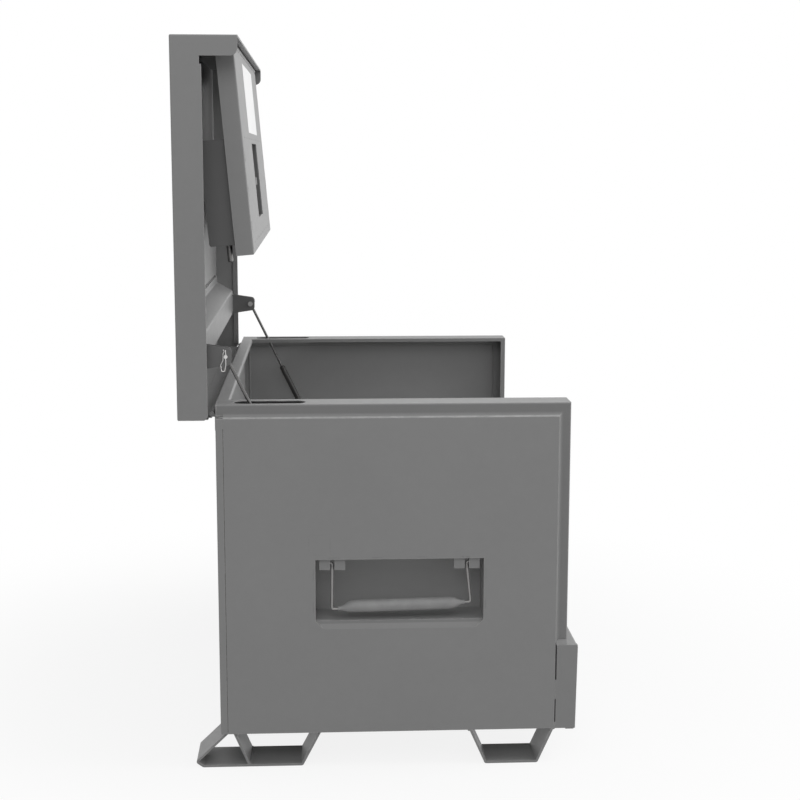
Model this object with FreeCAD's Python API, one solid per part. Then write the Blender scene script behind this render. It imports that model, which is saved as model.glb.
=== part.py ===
import FreeCAD, Part
import math
import os

# Jobsite storage box, lid open.  Millimetres.  X runs along the box, Y from front (-) to rear (+), Z up.
# The origin is on the ground, at the middle of the footprint of the open box.

# ---------------------------------------------------------------- driving sizes
box_length = 1219.2          # outside of one end wall to outside of the other
box_depth = 758.0            # rear wall to front of the sill
sheet = 2.0                  # panel thickness
leg_height = 76.0
wall_height = 705.0          # floor level to top of the end walls
weld_gap = 0.3               # seam left between butted sheets
seat_gap = 0.3               # rest gap between pieces that only touch
bend_radius = 3.0            # outside radius of folded sheet

joggle = 10.0                # how far the rim steps inward
joggle_rise = 3.0            # height of the slope that joins panel and rim
joggle_radius = 9.0          # hollow bend where the slope meets the rim
rim_height = 28.0            # from the step to the top of the end wall
rim_front = 25.9             # from the step to the front edge of the end wall
sill_overhang = 22.1         # sill face ahead of the end walls' front flanges
flange_width = 68.0          # top and front flanges of the end walls
flange_lip = 9.0
front_lip = 12.0
rear_flange = 27.0
rear_wrap = 15.0

sill_height = 185.0
sill_shelf = 84.0            # depth of the sill's top flange
sill_lean = 3.0              # foot of the sill's face stands this far back
sill_lip = 20.0
slit_width = 2.4             # the upper of two unwelded slits
slit_low_width = 1.5
slit_low = (14.0, 65.0)      # heights of the slits above the box's bottom
slit_high = (108.0, 185.0)
floor_flange = 25.0
floor_flange_inset = 60.0    # flange stops this far from the end walls
sill_return = 30.0           # sill's foot turned in under the floor

leg_thickness = 4.8
leg_width = 96.0             # front leg
front_leg_foot = 113.0
front_leg_splay = 34.0
front_leg_toe = 83.1         # foot's front end behind the sill face
rear_leg_width = 100.0
rear_leg_setback = 8.0       # strap's edge inside the end panel's face
rear_leg_foot = 229.0
rear_leg_reach = 56.0        # toe behind the rear wall
rear_leg_splay = 40.0
rear_leg_brace = 61.5        # foot of the middle strap ahead of the rear wall
rear_leg_brace_lean = 31.0
toe_run = 17.0               # rear foot turns up over this length
toe_rise = 12.0
rear_leg_inset = 11.0        # strap meets the box ahead of the rear wall
strap_radius = leg_thickness + 1.0

recess_width = 353.0
recess_height = 132.3
recess_bottom = 245.0        # above the box's bottom
recess_depth = 92.0
recess_lip_height = 17.7
recess_lip_depth = 4.0
lug_width = 22.4
lug_height = 25.5
lug_pivot_drop = 12.0        # from the lugs' top to the bail's pivot
lug_thickness = 14.0
lug_slit = 9.4
lug_spacing = 282.6
lug_inset = 5.0              # lugs behind the end wall's inner face
bail_radius = 3.0
bail_drop = 100.0
bail_bend = 4.2
bail_tilt_drop = 12.0        # the grip's rear end hangs this much lower
bail_splay = 9.0
bail_stub = 20.0
bore_clearance = 0.08
grip_radius = 12.0
grip_end_radius = 4.4
grip_length = 268.0
grip_taper = 36.0

hinge_radius = 5.5
hinge_leaf = 2.0
hinge_leaf_width = 34.0
hinge_pin_radius = 2.5
knuckles = 24
knuckle_gap = 0.5
barrel_gap = 0.3             # leaf plate to the other leaf's knuckles

lid_front_gap = 4.9          # shut lid's front behind the sill's face
lid_overhang = 77.0          # lid's outer plate behind the rear wall when open
skirt_depth = 62.2
hood_depth = 134.1
ear_width = 40.6
ear_radius = 15.0
hem_width = 13.0
relief = (4.0, 16.0)
skirt_chamfer = 7.0
lid_drop = 9.8               # lid's rear edge below the hinge axis
skirt_drop = 31.0            # open lid's rear edge below the box's top
hem_inset = (12.0, 20.0)     # hem's ends from the lid's rear edge and from the ear
hood_hem = 10.0

stiffener_face = 64.0
stiffener_web_run = 24.0
stiffener_foot = 18.0
stiffener_place = 119.2      # middle of the stiffener from the hinge axis

clevis_gap = 14.0
clevis_plate = 3.0
clevis_base = 52.0
clevis_tip = 34.0
clevis_tip_radius = 9.0
clevis_reach = 62.3
clevis_pin_drop = 51.0       # pin axis from the stiffener's face
clevis_offset = 1.4          # clevis nearer the hinge than the stiffener's middle
strut_inset = 42.0           # strut's middle plane inside the end panel's face
slot_length = 150.0
slot_width = 38.0
slot_start = 35.0            # from the rear wall
pin_radius = 4.0
pin_head_radius = 6.5
clip_wire = 1.0
clip_straight = (14.0, 17.0) # straight leg above and below the pin
clip_loop = 30.0             # far end of the clip from the pin
clip_turn = 65.0             # degrees the right-hand clip is turned round its pin
clip_spread = 10.5
clip_bend = 1.9

rod_radius = 3.5
rod_eye_radius = 8.0
rod_eye_width = 11.0
rod_exposed = 197.0
tube_radius = 7.5
tube_wall = 1.3
tube_end = 10.0
foot_neck = 6.0              # between the tube and the lower eye
piston_length = 14.0
strut_foot_rise = 31.7       # lower pivot above the top of the handle opening
strut_foot_ahead = 211.5     # lower pivot ahead of the rear wall
foot_eye_half = 8.0
stud_radius = 5.0
stud_gap = 0.5
stud_plate = 44.0
stud_plate_radius = 6.0
stud_shoulder = 5.0

door_length = 430.0          # hinge axis to bottom edge
door_depth = 38.0
door_side_gap = 3.6          # door to the lips of the end walls
door_lean = 5.0              # degrees the hanging door leans forward
door_face = 4.0              # outer face ahead of the hinge axis
door_top = 7.0               # panel starts this far below the axis
door_hinge_radius = 5.0
door_hinge_inset = 17.0      # axis above the hood's edge
door_knuckles = 22
door_lip = 12.0

label_size = (445.0, 152.0)
label_top = 17.0
label_thickness = 0.6
label_radius = 4.0
well_size = (242.0, 170.0)
well_top = 199.0
well_depth = 30.0
well_rim = 12.0
tab_size = (14.0, 20.0)      # stop at the well's edge
tab_rise = 74.0
housing_top = 190.0
housing_bottom = 408.0
housing_inset = 23.0         # lock housing's ends from the door's ends
housing_depth = 92.0         # behind the door's outer face
housing_radius = 5.0
bolt_radius = 6.0
bolt_inset = 48.0            # bolts from the door's ends
bolt_behind = 53.0           # bolt axis behind the door's outer face
bolt_proud = 14.0            # bolt tip below the door's bottom edge
bolt_travel = 30.0
bolt_length = 150.0
bolt_clearance = 1.0
bolt_chamfer = 2.0
guide_height = 22.0
guide_half = 14.0
guide_shift = 26.0           # upper guide below the cross bar's middle
carrier_half = 10.0          # block that holds each bolt on the cross bar
slide_gap = 0.5
crank_radius = 30.0
crank_pin_radius = 4.0
crank_half = 9.0
crank_thickness = 5.0
bar_height = 24.0
bar_thickness = 6.0
latch_turn = 60.0            # degrees
lever_length = 150.0
lever_width = 24.0
lever_thickness = 8.0
lever_gap = 3.0              # lever to the well's back
shaft_radius = 7.0

# ---------------------------------------------------------------- derived places
half = box_length / 2
rear_y = (box_depth + lid_overhang) / 2 - lid_overhang
front_y = rear_y - box_depth
bottom_z = leg_height
top_z = bottom_z + wall_height
wall_front_y = front_y + sill_overhang
step_y = wall_front_y + rim_front
step_z = top_z - rim_height
rim_x = half - joggle
flange_x = rim_x - flange_width

recess_z0 = bottom_z + recess_bottom
recess_z1 = recess_z0 + recess_height
recess_mid_y = (rear_y + front_y) / 2
recess_y = (recess_mid_y - recess_width / 2, recess_mid_y + recess_width / 2)

hinge_y = rear_y + hinge_leaf + barrel_gap + hinge_radius
lid_rear_z = top_z - skirt_drop
hinge_z = lid_rear_z + lid_drop
lid_plate_y = rear_y + lid_overhang
lid_front_z = hinge_z + (hinge_y - front_y) - lid_front_gap
skirt_edge_y = lid_plate_y - skirt_depth
hood_edge_y = lid_plate_y - hood_depth
hat_face_y = hinge_y + (top_z - hinge_z) + seat_gap
pin_y = hat_face_y - clevis_pin_drop
pin_z = hinge_z + stiffener_place - clevis_offset
strut_x = half - strut_inset
foot_y = rear_y - strut_foot_ahead
foot_z = recess_z1 + strut_foot_rise

door_axis_y = hood_edge_y + door_hinge_inset
door_axis_z = lid_front_z - sheet - hinge_leaf - door_hinge_radius
door_half = flange_x - door_side_gap
door_hinge_length = 2 * (door_half - sheet - seat_gap)
housing_half = door_half - housing_inset
bolt_place = door_half - bolt_inset

V = FreeCAD.Vector
ALONG = V(1, 0, 0)


# ---------------------------------------------------------------- shape helpers
def block(x, y, z):
    """Box from three (low, high) pairs."""
    size = [abs(pair[1] - pair[0]) for pair in (x, y, z)]
    return Part.makeBox(*size, V(min(x), min(y), min(z)))


def rod(start, direction, length, radius):
    return Part.makeCylinder(radius, length, V(*start), V(*direction))


def prism(points, x):
    """Polygon of (y, z) points drawn out along X."""
    corners = [V(x[0], y, z) for y, z in points]
    face = Part.Face(Part.makePolygon(corners + corners[:1]))
    return face.extrude(V(x[1] - x[0], 0, 0))


def folded(path, thickness, radius, x):
    """Sheet folded along a path of (y, z) points, its thickness to the left, drawn out along X."""
    points = [V(0, y, z) for y, z in path]
    dirs = [(b - a).normalize() for a, b in zip(points, points[1:])]
    lefts = [V(0, -d.z, d.y) for d in dirs]
    near, far = [], []
    last_near, last_far = points[0], points[0] + lefts[0] * thickness
    start_near, start_far = last_near, last_far
    for i in range(1, len(points) - 1):
        turn = math.atan2(dirs[i - 1].cross(dirs[i]).x, dirs[i - 1].dot(dirs[i]))
        side = 1 if turn > 0 else -1
        r_near = radius if side > 0 else radius - thickness
        r_far = r_near - side * thickness
        reach = r_near * math.tan(abs(turn) / 2)
        centre = points[i] - dirs[i - 1] * reach + lefts[i - 1] * (side * r_near)
        middle = (points[i] - centre).normalize()
        for edges, r, last in ((near, r_near, last_near), (far, r_far, last_far)):
            first = centre - lefts[i - 1] * (side * r)
            mid = centre + middle * r
            end = centre - lefts[i] * (side * r)
            edges.append(Part.makeLine(last, first))
            edges.append(Part.Arc(first, mid, end).toShape())
            if edges is near:
                last_near = end
            else:
                last_far = end
    end_near, end_far = points[-1], points[-1] + lefts[-1] * thickness
    near.append(Part.makeLine(last_near, end_near))
    far.append(Part.makeLine(last_far, end_far))
    caps = [Part.makeLine(start_near, start_far), Part.makeLine(end_near, end_far)]
    wire = Part.Wire(Part.__sortEdges__(near + far + caps))
    solid = Part.Face(wire).extrude(V(x[1] - x[0], 0, 0))
    solid.translate(V(x[0], 0, 0))
    return solid


def bent_wire(points, radius, bend):
    """Round wire along points, each corner rounded to the bend radius."""
    points = [V(*p) for p in points]
    edges, last = [], points[0]
    for before, corner, after in zip(points, points[1:], points[2:]):
        a, b = (before - corner).normalize(), (after - corner).normalize()
        half_angle = a.getAngle(b) / 2
        reach = bend / math.tan(half_angle)
        centre = corner + (a + b).normalize() * (bend / math.sin(half_angle))
        first, end = corner + a * reach, corner + b * reach
        mid = centre + (corner - centre).normalize() * bend
        edges += [Part.makeLine(last, first), Part.Arc(first, mid, end).toShape()]
        last = end
    edges.append(Part.makeLine(last, points[-1]))
    start = Part.makeCircle(radius, points[0], points[1] - points[0])
    return Part.Wire(edges).makePipeShell([Part.Wire(start)], True, False)


def fuse(first, *others):
    return first.fuse(list(others)).removeSplitter() if others else first


def round_edges(shape, radius, chosen):
    """Fillets the straight edges whose middle point passes the test."""
    edges = [e for e in shape.Edges if chosen(e.CenterOfMass, e.tangentAt(e.FirstParameter))]
    return shape.makeFillet(radius, edges)


def near(a, b):
    return abs(a - b) < 0.01


def mirrored(shape):
    return shape.mirror(V(0, 0, 0), ALONG)


def export(name, *solids):
    shape = solids[0] if len(solids) == 1 else Part.makeCompound(list(solids))
    if not shape.isValid():
        print("not valid:", name)
    print(f"{name}: {len(shape.Solids)} solids, {shape.Volume:.0f} mm3")
    shape.exportStep(f"parts/{name}.step")


def export_pair(name, *solids):
    """The left-hand piece at -X and its mirror image at +X."""
    export(name + "_left", *solids)
    export(name + "_right", *[mirrored(s) for s in solids])


os.makedirs("parts", exist_ok=True)


# ---------------------------------------------------------------- box body
def rim_form(inset, inner_x):
    """Solid bounded by the end panel, its step and its rim, drawn in by a sheet's thickness."""
    shift = inset * math.tan(math.atan2(joggle, joggle_rise) / 2)
    low_z = bottom_z - inset * 10
    seam_y = rear_y - rear_wrap - weld_gap + inset * 10
    panel = block((-half + inset, inner_x), (step_y + shift, seam_y), (low_z, step_z - shift))
    wires = []
    for x, grow in ((-half + inset, 0), (-rim_x + inset, joggle_rise)):
        y0, y1 = step_y + shift - grow, seam_y
        z0, z1 = low_z, step_z - shift + grow
        corners = [V(x, y0, z0), V(x, y1, z0), V(x, y1, z1), V(x, y0, z1)]
        wires.append(Part.makePolygon(corners + corners[:1]))
    ramp = Part.makeLoft(wires, True, True)
    rim_rear = rear_y - sheet + inset * 10
    rim = block((-rim_x + inset, inner_x), (wall_front_y + inset, rim_rear), (low_z, top_z - inset))
    form = fuse(panel, ramp, rim)

    def bends(p, d):
        return near(p.x, -rim_x + inset) and (near(p.z, top_z - inset) or near(p.y, wall_front_y + inset))

    def hollows(p, d):
        return near(p.x, -rim_x + inset) and (near(p.z, z1) or near(p.y, y0))

    return round_edges(round_edges(form, joggle_radius + inset, hollows), bend_radius - inset, bends)


def slot_cut(length, width, x, start_y, z):
    """Round-ended slot through a level sheet."""
    r = width / 2
    cut = block((x - r, x + r), (start_y - length + r, start_y - r), z)
    ends = [rod((x, y, min(z)), (0, 0, 1), abs(z[1] - z[0]), r) for y in (start_y - r, start_y - length + r)]
    return fuse(cut, *ends)


def lip_dimple(shift):
    """The slanting lip pressed into the panel below the handle opening."""
    face_x = -half + shift
    wires = []
    steps = ((recess_z0 - recess_lip_height, 0.01, recess_lip_height), (recess_z0, recess_lip_depth, 0))
    for z, depth, shorter in steps:
        y0, y1 = recess_y[0] + shorter, recess_y[1] - shorter
        x0, x1 = face_x - 3, face_x + depth
        corners = [V(x0, y0, z), V(x1, y0, z), V(x1, y1, z), V(x0, y1, z)]
        wires.append(Part.makePolygon(corners + corners[:1]))
    return Part.makeLoft(wires, True, True)


def end_wall():
    outer = rim_form(0, -flange_x).cut(lip_dimple(0))
    inner = rim_form(sheet, -flange_x + 20).cut(lip_dimple(sheet))
    wall = outer.cut(inner)
    top_lip = block((-flange_x - sheet, -flange_x), (wall_front_y, rear_y - sheet), (top_z - flange_lip, top_z))
    side_lip = block((-flange_x - sheet, -flange_x), (wall_front_y, wall_front_y + front_lip), (bottom_z + sheet, top_z))
    wall = fuse(wall, top_lip, side_lip)
    opening = block((-half - 5, -half + 12), recess_y, (recess_z0, recess_z1))
    slot = slot_cut(slot_length, slot_width, -strut_x, rear_y - slot_start, (top_z - 5, top_z + 5))
    corner = block((-rim_x - 1, -flange_x + 1), (rear_y - sheet, rear_y + 5), (bottom_z - 1, top_z + 1))
    foot = block((-rim_x + sheet - 0.5, -flange_x + 1), (wall_front_y - 1, rear_y), (bottom_z - 1, bottom_z + sheet))
    return wall.cut([opening, slot, corner, foot])


def rear_wall():
    wide = block((-half, half), (rear_y - sheet, rear_y), (bottom_z, step_z))
    rim = block((-rim_x, rim_x), (rear_y - sheet, rear_y), (bottom_z, top_z))
    wall = fuse(wide, rim)
    for side in (-1, 1):
        wrap = block((side * half, side * (half - sheet)), (rear_y - rear_wrap, rear_y), (bottom_z, step_z))
        tab = block((side * half, side * (rim_x + weld_gap)), (rear_y - rear_wrap, rear_y), (step_z - sheet, step_z))
        wall = fuse(wall, wrap, tab)
    flange_end = flange_x - weld_gap
    shelf = folded(
        [(rear_y - rear_flange, top_z - flange_lip), (rear_y - rear_flange, top_z), (rear_y - sheet, top_z)],
        -sheet,
        bend_radius,
        (-flange_end, flange_end),
    )
    wall = fuse(wall, shelf)

    def corners(p, d):
        return near(abs(p.x), half) and near(p.y, rear_y)

    return round_edges(wall, bend_radius, corners)


def floor_pan():
    front = wall_front_y + sheet + seat_gap
    rear = rear_y - sheet
    side = half - sheet
    pan = block((-side, side), (front, rear), (bottom_z, bottom_z + sheet))
    inner = rim_x - sheet
    notch = [
        block((s * side + s, s * (inner - joggle)), (front - 1, step_y + sheet + joggle), (bottom_z - 1, bottom_z + floor_flange))
        for s in (-1, 1)
    ]
    pan = pan.cut(notch)
    ledge = side - floor_flange_inset
    up = block((-ledge, ledge), (rear - sheet, rear), (bottom_z, bottom_z + floor_flange))
    return fuse(pan, up)


def sill_profile_y(z):
    return front_y + sill_lean * (1 - (z - bottom_z) / sill_height)


sill_top = bottom_z + sill_height
slope = joggle_rise / joggle
wrap_edge_y = step_y - slope * sheet - weld_gap


def front_sill():
    foot = sill_profile_y(bottom_z)
    shelf_rear = front_y + sill_shelf
    path = [
        (foot + sill_return, bottom_z - sheet - seat_gap),
        (foot, bottom_z - sheet - seat_gap),
        (front_y, sill_top),
        (shelf_rear, sill_top),
        (shelf_rear, sill_top - sill_lip),
    ]
    core_half = flange_x - seat_gap
    core = folded(path, -sheet, bend_radius, (-core_half, core_half))
    wing_path = [(foot, bottom_z), (front_y, sill_top), (wall_front_y - seat_gap, sill_top)]
    wings = [
        folded(wing_path, -sheet, bend_radius, (s * core_half, s * half)) for s in (-1, 1)
    ]
    edge = wrap_edge_y
    notch = edge - slit_width
    heights = [bottom_z + h for h in (*slit_low, *slit_high)]
    wrap_outline = [
        (edge, bottom_z),
        (edge, heights[0]),
        (edge - slit_low_width, heights[0]),
        (edge - slit_low_width, heights[1]),
        (edge, heights[1]),
        (edge, heights[2]),
        (notch, heights[2]),
        (notch, sill_top),
        (front_y + 0.5, sill_top),
        (foot + 0.5, bottom_z),
    ]
    wraps = [prism(wrap_outline, (s * (half - sheet), s * half)) for s in (-1, 1)]
    cap = block((-half, -rim_x - seat_gap), (front_y + 1, notch), (sill_top - sheet, sill_top))
    cap = cap.cut(rim_form(-seat_gap, -flange_x))
    caps = [cap, mirrored(cap)]
    sill = fuse(core, *wings, *wraps, *caps)
    door_face_y = closed_door_y(-door_face)
    holes = [
        rod((s * bolt_place, door_face_y + bolt_behind, sill_top - 5), (0, 0, 1), 10, bolt_radius + 2 * bolt_clearance)
        for s in (-1, 1)
    ]
    return sill.cut(holes)


def sill_welds():
    """Beads that close the groove between end panel and sill wrap, above and between the slits."""
    near_edge = step_y - weld_gap * 0.1
    beads = []
    for low, high in ((0, slit_low[0]), (slit_low[1], slit_high[0])):
        corners = [
            V(-half, near_edge, 0),
            V(-half, wrap_edge_y, 0),
            V(-half + sheet, wrap_edge_y, 0),
            V(-half + sheet, near_edge - slope * sheet, 0),
        ]
        face = Part.Face(Part.makePolygon(corners + corners[:1]))
        bead = face.extrude(V(0, 0, high - low))
        bead.translate(V(0, 0, bottom_z + low))
        beads.append(bead)
    return beads


def front_leg():
    toe = front_y + front_leg_toe
    heel = toe + front_leg_foot
    path = [(toe - front_leg_splay, bottom_z), (toe, 0), (heel, 0), (heel + front_leg_splay, bottom_z)]
    strap = folded(path, leg_thickness, strap_radius, (-half, -half + leg_width))
    return strap.common(block((-half, half), (front_y, rear_y), (0, bottom_z)))


rear_leg_x = (-half + rear_leg_setback, -half + rear_leg_setback + rear_leg_width)


def rear_leg():
    toe = rear_y + rear_leg_reach
    heel = toe - rear_leg_foot
    path = [
        (heel - rear_leg_splay, bottom_z),
        (heel, 0),
        (toe - toe_run, 0),
        (toe, toe_rise),
        (rear_y - rear_leg_inset, bottom_z),
    ]
    strap = folded(path, leg_thickness, strap_radius, rear_leg_x)
    return strap.common(block(rear_leg_x, (front_y, toe), (0, bottom_z)))


def rear_brace():
    foot = rear_y - rear_leg_brace
    top = foot + rear_leg_brace_lean
    outline = [
        (foot, leg_thickness + seat_gap),
        (foot + leg_thickness * 1.1, leg_thickness + seat_gap),
        (top + leg_thickness * 1.1, bottom_z),
        (top, bottom_z),
    ]
    return prism(outline, rear_leg_x)


# ---------------------------------------------------------------- lift handles
def handle_recess():
    x0, x1 = -half + sheet, -half + recess_depth
    gap = 2.0
    y = (recess_y[0] - gap, recess_y[1] + gap)
    z = (recess_z0, recess_z1 + gap)
    outer = block((x0, x1), (y[0] - sheet, y[1] + sheet), (z[0] - sheet, z[1] + sheet))
    inner = block((x0 - 1, x1 - sheet), y, z)
    behind_lip = block((x0 - 1, x0 + recess_lip_depth + gap), (y[0] - 5, y[1] + 5), (z[0] - 5, z[0] + 0.01))
    shell = outer.cut([inner, behind_lip])

    def corners(p, d):
        return near(p.x, x1) and abs(d.y) > 0.9

    return round_edges(shell, bend_radius, corners)


lug_x = -half + sheet + lug_inset
pivot_x = lug_x + lug_thickness / 2
lug_top = recess_z1 + 2.0
pivot_z = lug_top - lug_pivot_drop


def handle_lugs():
    lugs = []
    for side in (-1, 1):
        slit_mid = recess_mid_y + side * lug_spacing / 2
        for edge in (-1, 1):
            y0 = slit_mid + edge * lug_slit / 2
            y1 = y0 + edge * lug_width
            lug = block((lug_x, lug_x + lug_thickness), (y0, y1), (lug_top - lug_height, lug_top))
            if edge == side:
                hole = rod((pivot_x, min(y0, y1) - 1, pivot_z), (0, 1, 0), lug_width + 2, bail_radius + bore_clearance)
                lug = lug.cut(hole)
            lugs.append(lug)
    return lugs


grip_rear = (pivot_x, recess_mid_y + lug_spacing / 2 + 1, pivot_z - bail_drop)
grip_front = (pivot_x, recess_mid_y - lug_spacing / 2 - bail_splay, pivot_z - bail_drop + bail_tilt_drop)


def handle_bail():
    rear_leg_y = recess_mid_y + lug_spacing / 2
    front_leg_y = recess_mid_y - lug_spacing / 2
    path = [
        (pivot_x, rear_leg_y + bail_stub, pivot_z),
        (pivot_x, rear_leg_y, pivot_z),
        grip_rear,
        grip_front,
        (pivot_x, front_leg_y, pivot_z),
        (pivot_x, front_leg_y - bail_stub, pivot_z),
    ]
    return bent_wire(path, bail_radius, bail_bend)


def handle_grip():
    half_length = grip_length / 2
    bore = bail_radius + bore_clearance
    shoulder = half_length - grip_taper
    bulge = V(0, grip_end_radius + (grip_radius - grip_end_radius) * 0.72, half_length - grip_taper / 2)
    low_bulge = V(0, bulge.y, -bulge.z)
    edges = [
        Part.makeLine(V(0, bore, -half_length), V(0, grip_end_radius, -half_length)),
        Part.Arc(V(0, grip_end_radius, -half_length), low_bulge, V(0, grip_radius, -shoulder)).toShape(),
        Part.makeLine(V(0, grip_radius, -shoulder), V(0, grip_radius, shoulder)),
        Part.Arc(V(0, grip_radius, shoulder), bulge, V(0, grip_end_radius, half_length)).toShape(),
        Part.makeLine(V(0, grip_end_radius, half_length), V(0, bore, half_length)),
        Part.makeLine(V(0, bore, half_length), V(0, bore, -half_length)),
    ]
    grip = Part.Face(Part.Wire(edges)).revolve(V(0, 0, 0), V(0, 0, 1), 360)
    start, end = V(*grip_rear), V(*grip_front)
    grip.Placement = FreeCAD.Placement((start + end) * 0.5, FreeCAD.Rotation(V(0, 0, 1), end - start))
    return grip


# ---------------------------------------------------------------- hinges
def hinge_knuckles(count, length, which):
    """X ranges of every second knuckle along a hinge centred on X = 0."""
    pitch = length / count
    first = -length / 2
    return [
        (first + i * pitch + knuckle_gap / 2, first + (i + 1) * pitch - knuckle_gap / 2)
        for i in range(which, count, 2)
    ]


def hinge_side(count, length, which, radius, web, plate):
    """One leaf of a continuous hinge about the X axis: its plate, knuckles and the webs that join them."""
    parts = [block((-length / 2, length / 2), *plate)]
    for x in hinge_knuckles(count, length, which):
        parts.append(rod((x[0], 0, 0), (1, 0, 0), x[1] - x[0], radius))
        parts.append(block(x, *web))
    leaf = fuse(*parts)
    bore = rod((-length, 0, 0), (1, 0, 0), 2 * length, hinge_pin_radius + bore_clearance)
    return leaf.cut(bore)


lid_hinge_length = 2 * (rim_x - 12)
leaf_start = hinge_radius + barrel_gap


def lid_hinge_box_leaf():
    plate = ((-leaf_start - hinge_leaf, -leaf_start), (-hinge_leaf_width, 0))
    web = ((-leaf_start - hinge_leaf / 2, -hinge_pin_radius), (-hinge_radius, 0))
    leaf = hinge_side(knuckles, lid_hinge_length, 0, hinge_radius, web, plate)
    leaf.translate(V(0, hinge_y, hinge_z))
    return leaf


def lid_hinge_lid_leaf():
    plate = ((0, hinge_leaf_width), (-leaf_start - hinge_leaf, -leaf_start))
    web = ((0, hinge_radius), (-leaf_start - hinge_leaf / 2, -hinge_pin_radius))
    leaf = hinge_side(knuckles, lid_hinge_length, 1, hinge_radius, web, plate)
    leaf.translate(V(0, hinge_y, hinge_z))
    return leaf


def hinge_pin(length, y, z):
    return rod((-length / 2, y, z), (1, 0, 0), length, hinge_pin_radius)


# ---------------------------------------------------------------- lid
def lid_shell():
    tray = block((-half, half), (skirt_edge_y, lid_plate_y), (lid_rear_z, lid_front_z))
    hood = block((-half, half), (hood_edge_y, skirt_edge_y + 1), (lid_front_z - ear_width, lid_front_z))
    outer = fuse(tray, hood)
    inside = half - sheet
    inner = block(
        (-inside, inside), (hood_edge_y - 10, lid_plate_y - sheet), (lid_rear_z + sheet, lid_front_z - sheet)
    )

    def ear_corner(p, d):
        return near(p.y, hood_edge_y) and near(p.z, lid_front_z - ear_width)

    def outer_bends(p, d):
        side = near(abs(p.x), half) and (near(p.y, lid_plate_y) or near(p.z, lid_front_z))
        across = near(p.y, lid_plate_y) and abs(d.x) > 0.9
        return side or across

    outer = round_edges(outer, bend_radius, outer_bends)
    outer = outer.cut(outer_cut_for_ear())
    shell = outer.cut(inner)
    hems = []
    for side in (-1, 1):
        x = (side * inside, side * (inside - sheet))
        hem_z = (lid_rear_z + hem_inset[0], lid_front_z - ear_width - hem_inset[1])
        hems.append(block(x, (skirt_edge_y, skirt_edge_y + hem_width), hem_z))
    shell = fuse(shell, *hems)
    hem_front = block(
        (-inside, inside), (hood_edge_y, hood_edge_y + hood_hem), (lid_front_z - 2 * sheet, lid_front_z - sheet)
    )
    shell = fuse(shell, hem_front)
    notch = block(
        (-half - 1, half + 1),
        (skirt_edge_y - 1, skirt_edge_y + relief[0]),
        (lid_front_z - ear_width - relief[1], lid_front_z - ear_width),
    )
    corner = prism(
        [
            (skirt_edge_y - 1, lid_rear_z + skirt_chamfer + 1),
            (skirt_edge_y - 1, lid_rear_z - 1),
            (skirt_edge_y + skirt_chamfer + 1, lid_rear_z - 1),
        ],
        (-half - 1, -rim_x),
    )
    return shell.cut([notch, corner, mirrored(corner)])


def outer_cut_for_ear():
    """What the rounded free corner of the ears leaves off."""
    y, z = hood_edge_y, lid_front_z - ear_width
    square = block((-half - 1, half + 1), (y - 1, y + ear_radius), (z - 1, z + ear_radius))
    disc = rod((-half - 2, y + ear_radius, z + ear_radius), (1, 0, 0), box_length + 4, ear_radius)
    return square.cut(disc)


def lid_stiffener():
    plate_in = lid_plate_y - sheet - 0.05
    middle = hinge_z + stiffener_place
    face = stiffener_face / 2
    web = face + stiffener_web_run
    foot = web + stiffener_foot
    path = [
        (plate_in, middle - foot),
        (plate_in, middle - web),
        (hat_face_y, middle - face),
        (hat_face_y, middle + face),
        (plate_in, middle + web),
        (plate_in, middle + foot),
    ]
    path = [(y - (sheet if y == plate_in else 0), z) for y, z in path]
    end = half - sheet - seat_gap
    return folded(path, -sheet, bend_radius + 1, (-end, end))


def strut_clevis():
    outer = clevis_gap / 2 + clevis_plate
    base_z = (pin_z - clevis_base / 2, pin_z + clevis_base / 2)
    base = block((-outer, outer), (hat_face_y - clevis_plate, hat_face_y), base_z)
    tip_y = hat_face_y - clevis_reach
    outline = [
        (hat_face_y - clevis_plate / 2, base_z[0]),
        (tip_y, pin_z - clevis_tip / 2),
        (tip_y, pin_z + clevis_tip / 2),
        (hat_face_y - clevis_plate / 2, base_z[1]),
    ]
    ears = []
    for side in (-1, 1):
        ear = prism(outline, (side * (clevis_gap / 2), side * outer))
        ear = round_edges(ear, clevis_tip_radius, lambda p, d: near(p.y, tip_y) and abs(d.x) > 0.9)
        ears.append(ear)
    clevis = fuse(base, *ears)
    hole = rod((-outer - 1, pin_y, pin_z), (1, 0, 0), 2 * outer + 2, pin_radius + bore_clearance)
    clevis = clevis.cut(hole)
    clevis.translate(V(-strut_x, 0, 0))
    return clevis


clip_x = -strut_x - clevis_gap / 2 - clevis_plate - clip_wire - 0.6


def strut_pin():
    inner_end = -strut_x + clevis_gap / 2 + clevis_plate
    start = clip_x - 3
    shank = rod((start, pin_y, pin_z), (1, 0, 0), inner_end - start + 1, pin_radius)
    head = rod((inner_end + 0.2, pin_y, pin_z), (1, 0, 0), 3, pin_head_radius)
    pin = fuse(shank, head)
    hole = rod((clip_x, pin_y, pin_z - 20), (0, 0, 1), 40, clip_wire + bore_clearance)
    return pin.cut(hole)


def turned(shape):
    """A right-hand pin or clip, turned about the pin's axis so that the clip lies along the clevis."""
    shape.rotate(V(0, pin_y, pin_z), ALONG, clip_turn)
    return shape


def strut_clip():
    """Hairpin clip: one straight leg through the pin, the other sprung round it."""
    lobe = pin_radius + clip_wire + seat_gap + bore_clearance
    high, low = clip_straight
    path = [
        (0, high),
        (0, -low),
        (-clip_spread * 0.24, -clip_loop),
        (-clip_spread * 0.86, -clip_loop),
        (-clip_spread, -low),
        (-lobe, -low * 0.41),
        (-lobe, high * 0.46),
        (-lobe / 2, high * 0.79),
        (-lobe * 0.9, high * 1.07),
    ]
    return bent_wire([(clip_x, pin_y - y, pin_z + z) for y, z in path], clip_wire, clip_bend)


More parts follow.
